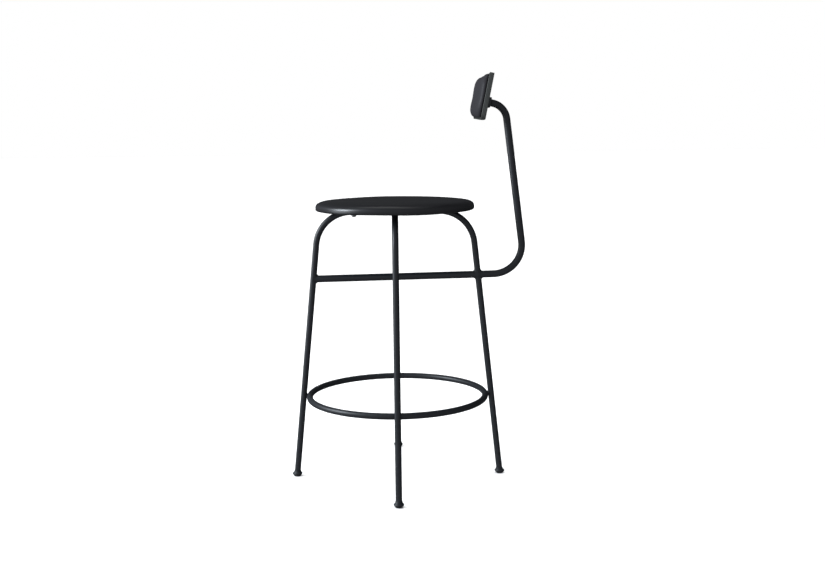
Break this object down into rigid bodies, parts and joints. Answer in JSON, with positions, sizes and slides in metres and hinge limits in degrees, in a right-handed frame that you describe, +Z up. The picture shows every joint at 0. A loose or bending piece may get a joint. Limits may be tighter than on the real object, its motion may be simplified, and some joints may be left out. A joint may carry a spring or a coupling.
{
  "type": "bar stool",
  "caption": "Counter-height stool: splayed bent-tube steel legs, ring footrest, round padded leather seat, and a small padded backrest on a single curved stem.",
  "frame": {"origin": "on the floor, under the middle of the stool's bounding box", "axes": "+Z up; the sitter faces -Y, the backrest stem is on the +Y side; X is left to right"},
  "size_m": [0.4902, 0.5378, 0.9104],
  "materials": {
    "frame_steel": "satin powder coat, blue-black",
    "zinc_steel": "zinc plated",
    "screw_steel": "black oxide",
    "glide_nylon": "moulded, matt",
    "plywood": "raw plywood",
    "shell_wood": "dark stained plywood, satin",
    "seat_leather": "smooth black leather, semi-gloss",
    "back_leather": "smooth black leather, semi-gloss",
    "foam": "upholstery foam",
    "dust_felt": "non-woven dust cover"
  },
  "bodies": {
    "root": {"back_bracket": "frame_steel", "back_pad_cover": "back_leather", "back_pad_foam": "foam", "back_screw_left": "screw_steel", "back_screw_right": "screw_steel", "back_shell": "shell_wood", "back_stem": "frame_steel", "back_tee_nut_left": "zinc_steel", "back_tee_nut_right": "zinc_steel", "crossbar": "frame_steel", "crossbar_front_weld": "frame_steel", "crossbar_rear_weld": "frame_steel", "foot_ring": "frame_steel", "front_foot_flange": "frame_steel", "front_glide": "glide_nylon", "front_rear_leg_frame": "frame_steel", "left_foot_flange": "frame_steel", "left_glide": "glide_nylon", "left_leg": "frame_steel", "left_run_weld": "frame_steel", "rear_foot_flange": "frame_steel", "rear_glide": "glide_nylon", "right_foot_flange": "frame_steel", "right_glide": "glide_nylon", "right_leg": "frame_steel", "right_run_weld": "frame_steel", "ring_weld_front": "frame_steel", "ring_weld_left": "frame_steel", "ring_weld_rear": "frame_steel", "ring_weld_right": "frame_steel", "seat_board": "plywood", "seat_cover": "seat_leather", "seat_dust_cover": "dust_felt", "seat_foam": "foam", "seat_screw_front": "screw_steel", "seat_screw_left": "screw_steel", "seat_screw_right": "screw_steel", "seat_tee_nut_front": "zinc_steel", "seat_tee_nut_left": "zinc_steel", "seat_tee_nut_right": "zinc_steel", "seat_washer_front": "zinc_steel", "seat_washer_left": "zinc_steel", "seat_washer_right": "zinc_steel", "stem_bracket_weld": "frame_steel", "stem_leg_weld": "frame_steel"}
  },
  "joints": []
}
